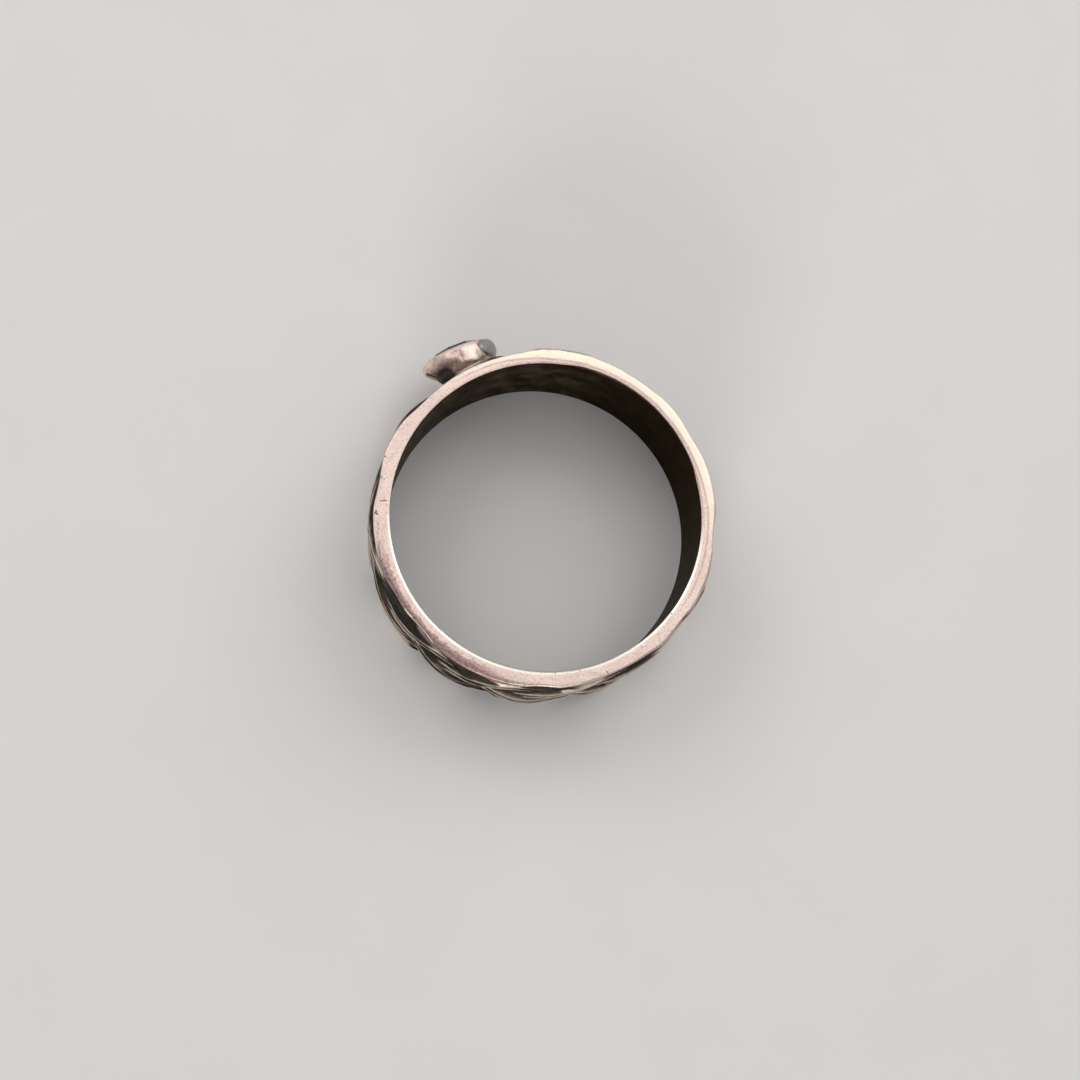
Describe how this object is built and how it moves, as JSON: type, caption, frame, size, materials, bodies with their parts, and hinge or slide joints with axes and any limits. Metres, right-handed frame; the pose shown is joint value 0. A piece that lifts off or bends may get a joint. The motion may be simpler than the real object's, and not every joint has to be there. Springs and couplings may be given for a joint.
{
  "type": "silver ring",
  "caption": "Cast silver finger ring: a band with a raised plaited pattern and a small round bezel cup that holds a dark cut stone.",
  "frame": {"origin": "centre of the finger hole, halfway between the rims", "axes": "+Z along the finger hole, square to both rims, up when the ring lies on its side; the stone's setting faces -Y"},
  "size_m": [0.0202, 0.022, 0.007],
  "materials": {
    "silver": "worn sterling silver, bright on the rims, blackened in the recesses of the plait",
    "stone": "polished dark stone, almost black"
  },
  "bodies": {
    "root": {"ring_band": "silver", "stone": "stone"}
  },
  "joints": []
}
